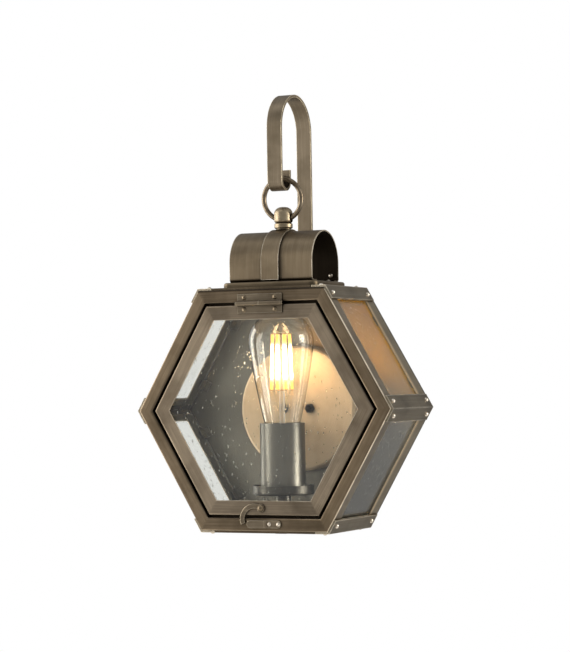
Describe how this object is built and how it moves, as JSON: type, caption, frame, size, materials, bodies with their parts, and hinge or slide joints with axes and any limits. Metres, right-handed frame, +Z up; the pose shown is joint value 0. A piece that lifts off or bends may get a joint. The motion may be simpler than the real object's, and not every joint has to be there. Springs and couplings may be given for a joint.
{
  "type": "wall lantern",
  "caption": "Hexagonal brushed-bronze wall lantern with a glazed top-hung door and latch, riveted straps, arched chimney, ring and hook, and a lit filament lamp.",
  "frame": {"origin": "on the wall plane, behind the centre of the hexagon, at the rear face of the wall bracket", "axes": "+X to the right as seen from the front, +Y into the wall, +Z up"},
  "size_m": [0.2702, 0.1144, 0.4267],
  "materials": {
    "bronze_sheet": "brushed antique bronze, brushing along each rail",
    "bronze_chimney": "brushed antique bronze, brushing up and down",
    "bronze_hook": "antique bronze with bright cut edges",
    "brass_turned": "turned, satin antique brass",
    "rivet_nickel": "burnished bright",
    "brass_cover": "spun satin brass",
    "black_steel": "blackened",
    "zinc_steel": "zinc plated",
    "gasket_rubber": "closed-cell foam",
    "terminal_plastic": "moulded",
    "lead_sleeve": "braided heat-proof sleeve",
    "satin_nickel": "satin nickel",
    "porcelain": "glazed",
    "contact_brass": "bright",
    "lamp_glass": "clear blown glass",
    "support_wire": "bright wire",
    "filament": "glowing coated stick",
    "seeded_glass": "clear glass with small stretched bubbles"
  },
  "bodies": {
    "lantern": {"front_frame": "bronze_sheet", "back_pan": "bronze_sheet", "top_panel": "bronze_sheet", "bottom_panel": "bronze_sheet", "corner_strap_right": "bronze_sheet", "corner_strap_upper_right": "bronze_sheet", "corner_strap_upper_left": "bronze_sheet", "corner_strap_left": "bronze_sheet", "corner_strap_lower_left": "bronze_sheet", "corner_strap_lower_right": "bronze_sheet", "hinge_frame_leaf": "bronze_sheet", "latch_keeper": "bronze_sheet", "side_glass_clips": "bronze_sheet", "hinge_pin": "bronze_sheet", "chimney_base": "bronze_chimney", "chimney_arch": "bronze_chimney", "chimney_band": "bronze_chimney", "hook_strap": "bronze_hook", "hanging_ring": "bronze_hook", "finial": "brass_turned", "finial_collar": "brass_turned", "corner_rivets": "rivet_nickel", "chimney_rivets": "rivet_nickel", "hook_rivets": "rivet_nickel", "cover_rivets": "rivet_nickel", "hinge_rivets_frame": "rivet_nickel", "keeper_rivets": "rivet_nickel", "wiring_cover": "brass_cover", "fixing_nuts": "black_steel", "finial_nut": "black_steel", "stem_nut": "black_steel", "wall_bracket": "zinc_steel", "bracket_studs": "zinc_steel", "wall_gasket": "gasket_rubber", "terminal_block": "terminal_plastic", "lamp_lead": "lead_sleeve", "lampholder_cup": "satin_nickel", "drip_dish": "satin_nickel", "lampholder_stem": "satin_nickel", "lampholder_insert": "porcelain", "lampholder_contact": "contact_brass", "bulb_cap": "contact_brass", "bulb_envelope": "lamp_glass", "bulb_stem": "lamp_glass", "bulb_supports": "support_wire", "bulb_filaments": "filament", "side_glass_upper_right": "seeded_glass", "side_glass_upper_left": "seeded_glass", "side_glass_lower_left": "seeded_glass", "side_glass_lower_right": "seeded_glass"},
    "door": {"door_frame": "bronze_sheet", "door_glass": "seeded_glass", "door_glass_clips": "bronze_sheet", "hinge_door_leaf": "bronze_sheet", "hinge_rivets_door": "rivet_nickel", "latch_pivot": "rivet_nickel"},
    "latch": {"latch_lever": "bronze_sheet"}
  },
  "joints": [
    {"name": "door_hinge", "type": "hinge", "parent": "lantern", "child": "door", "pos_m": [0, -0.1122, 0.10125], "axis": [-1, 0, 0], "range_deg": [0, 120]},
    {"name": "latch_turn", "type": "hinge", "parent": "door", "child": "latch", "pos_m": [-0.002, -0.1112, -0.093], "axis": [0, -1, 0], "range_deg": [-30, 66]}
  ]
}
